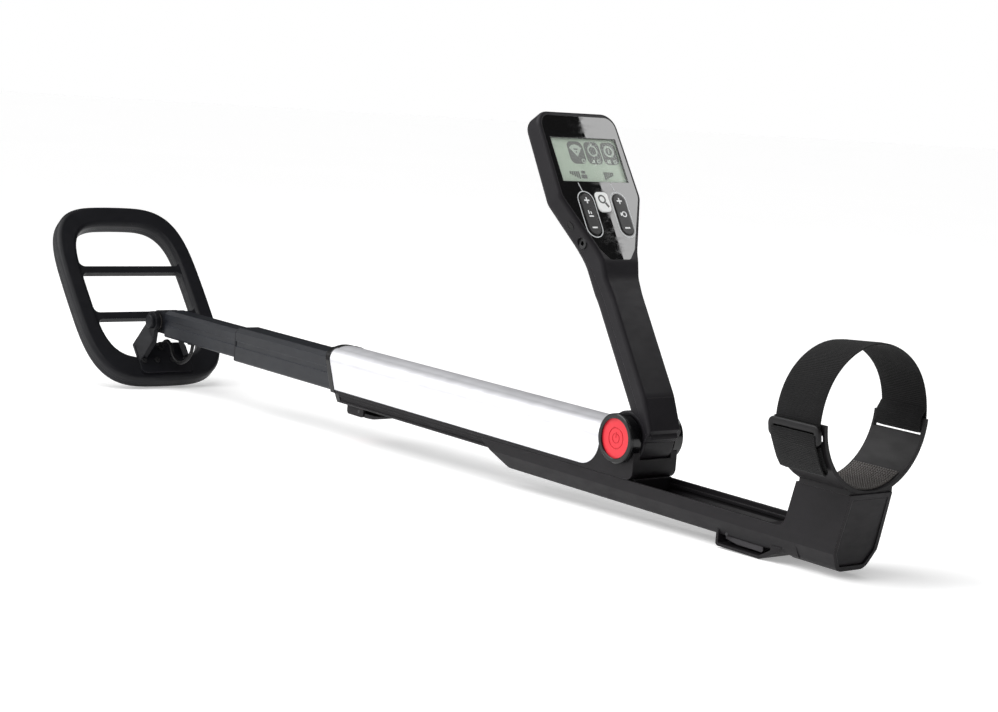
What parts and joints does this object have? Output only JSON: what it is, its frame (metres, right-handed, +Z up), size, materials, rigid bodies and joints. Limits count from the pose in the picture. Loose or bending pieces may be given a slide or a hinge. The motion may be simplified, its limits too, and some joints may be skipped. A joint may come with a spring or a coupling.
{
  "type": "metal detector",
  "caption": "Collapsible hand-held metal detector: open oval search coil on a telescopic shaft, folding handle with display pod, sliding arm rest with strap.",
  "frame": {"origin": "under the middle of the whole detector, on the level that it lies on", "axes": "+X runs back from the search coil to the arm rest, +Y is the user's right, +Z is up; the shaft rises 1.5 degrees towards the coil as the detector lies on its coil's rear edge and on the guard under the arm rest"},
  "size_m": [1.0876, 0.1556, 0.3004],
  "materials": {
    "body_plastic": "fine moulded texture, dark grey",
    "silver_aluminium": "bead blasted, pale silver anodised, bright lower edge",
    "gloss_black_plastic": "polished",
    "screw_steel": "turned",
    "spring_steel": "drawn wire",
    "red_plastic": "satin coral red",
    "black_aluminium": "satin black anodised",
    "shaft_plastic": "moulded",
    "bush_plastic": "slippery natural acetal",
    "cable_rubber": "matte black jacket",
    "handle_plastic": "spark eroded texture, warm black",
    "cuff_plastic": "moulded",
    "pad_rubber": "soft grid pad",
    "webbing": "ribbed black webbing",
    "buckle_plastic": "moulded",
    "latch_plastic": "grey moulded",
    "coil_plastic": "smooth satin black",
    "copper_winding": "enamelled copper wire",
    "panel_gloss": "gloss black overlay with white outlines",
    "clear_window": "clear",
    "lcd_glass": "grey green reflective display",
    "circuit_board": "green solder mask",
    "speaker_metal": "black",
    "key_rubber": "silicone",
    "white_key": "satin white",
    "socket_plastic": "moulded",
    "battery_sleeve": "plain wrapped cells",
    "contact_metal": "nickel plated strip"
  },
  "bodies": {
    "main_body": {"body_frame": "body_plastic", "upper_sleeve": "silver_aluminium", "front_bezel": "gloss_black_plastic", "left_hinge_ring": "gloss_black_plastic", "right_hinge_ring": "gloss_black_plastic", "body_screws": "screw_steel", "lock_bracket": "body_plastic", "lock_pin": "screw_steel", "lock_spring": "spring_steel", "button_spring": "spring_steel"},
    "shaft_lock": {"lock_lever": "body_plastic", "lock_nose": "red_plastic"},
    "release_button": {"release_button": "red_plastic"},
    "mid_shaft": {"mid_shaft": "black_aluminium", "mid_shaft_collar": "shaft_plastic", "mid_shaft_bush": "bush_plastic"},
    "lower_shaft": {"lower_shaft": "black_aluminium", "lower_shaft_bush": "bush_plastic", "shaft_fork": "shaft_plastic", "cable_grommet": "cable_rubber", "coil_cable": "cable_rubber"},
    "coil": {"coil_top_shell": "coil_plastic", "coil_skid": "coil_plastic", "coil_winding": "copper_winding", "coil_yoke": "coil_plastic", "yoke_screws": "screw_steel", "pivot_bolt": "shaft_plastic", "pivot_nut": "shaft_plastic", "pivot_washers": "pad_rubber", "cable_gland": "cable_rubber"},
    "handle": {"handle_front_shell": "handle_plastic", "handle_rear_shell": "handle_plastic", "handle_screws": "screw_steel", "hinge_knuckle": "handle_plastic", "control_panel": "panel_gloss", "display_window": "clear_window", "lcd_module": "lcd_glass", "main_board": "circuit_board", "speaker": "speaker_metal", "headphone_socket": "socket_plastic", "batteries": "battery_sleeve", "battery_tray": "contact_metal"},
    "battery_door": {"battery_door": "handle_plastic"},
    "left_key": {"left_key": "key_rubber"},
    "right_key": {"right_key": "key_rubber"},
    "find_button": {"find_button": "white_key"},
    "arm_rest": {"arm_carriage": "body_plastic", "rear_cover": "body_plastic", "arm_cuff": "cuff_plastic", "cuff_screws": "screw_steel", "cuff_pad": "pad_rubber", "arm_strap": "webbing", "strap_tail": "webbing", "strap_buckle": "buckle_plastic", "latch_pin": "screw_steel", "latch_spring": "spring_steel"},
    "carriage_latch": {"carriage_latch": "latch_plastic"}
  },
  "joints": [
    {"name": "mid_shaft_slide", "type": "slide", "parent": "main_body", "child": "mid_shaft", "axis": [0.9997, 0, -0.0264], "range_m": [0, 0.13]},
    {"name": "lower_shaft_slide", "type": "slide", "parent": "mid_shaft", "child": "lower_shaft", "axis": [0.9997, 0, -0.0264], "range_m": [0, 0.096]},
    {"name": "coil_tilt", "type": "hinge", "parent": "lower_shaft", "child": "coil", "pos_m": [-0.40563, 0, 0.06695], "axis": [0, 1, 0], "range_deg": [-48.8, 56], "deforming": ["coil_cable"]},
    {"name": "handle_fold", "type": "hinge", "parent": "main_body", "child": "handle", "pos_m": [0.31249, 0, 0.062], "axis": [0, -1, 0], "range_deg": [0, 57.8]},
    {"name": "release_button_press", "type": "slide", "parent": "main_body", "child": "release_button", "axis": [0, 1, 0], "range_m": [0, 0.0025], "stiffness_N_per_m": 1500, "springref_m": -0.002, "deforming": ["button_spring"]},
    {"name": "left_key_rock", "type": "hinge", "parent": "handle", "child": "left_key", "pos_m": [0.25599, -0.0165, 0.22441], "axis": [0, 1, 0], "range_deg": [-2, 2], "stiffness_Nm_per_rad": 0.6},
    {"name": "right_key_rock", "type": "hinge", "parent": "handle", "child": "right_key", "pos_m": [0.25599, 0.0165, 0.22441], "axis": [0, 1, 0], "range_deg": [-2, 2], "stiffness_Nm_per_rad": 0.6},
    {"name": "find_button_press", "type": "slide", "parent": "handle", "child": "find_button", "axis": [-0.86, 0, -0.5104], "range_m": [0, 0.0006], "stiffness_N_per_m": 900, "springref_m": -0.0006},
    {"name": "battery_door_slide", "type": "slide", "parent": "handle", "child": "battery_door", "axis": [0.5104, 0, -0.86], "range_m": [0, 0.008]},
    {"name": "shaft_lock_rock", "type": "hinge", "parent": "main_body", "child": "shaft_lock", "pos_m": [-0.04653, 0, 0.02806], "axis": [0, 1, 0], "range_deg": [0, 10], "stiffness_Nm_per_rad": 0.2, "springref_deg": -6.88, "deforming": ["lock_spring"]},
    {"name": "arm_rest_slide", "type": "slide", "parent": "main_body", "child": "arm_rest", "axis": [-0.9997, 0, 0.0264], "range_m": [0, 0.14]},
    {"name": "carriage_latch_press", "type": "hinge", "parent": "arm_rest", "child": "carriage_latch", "pos_m": [0.42618, 0, 0.01098], "axis": [0, -1, 0], "range_deg": [0, 5], "stiffness_Nm_per_rad": 0.3, "springref_deg": -6.88}
  ]
}
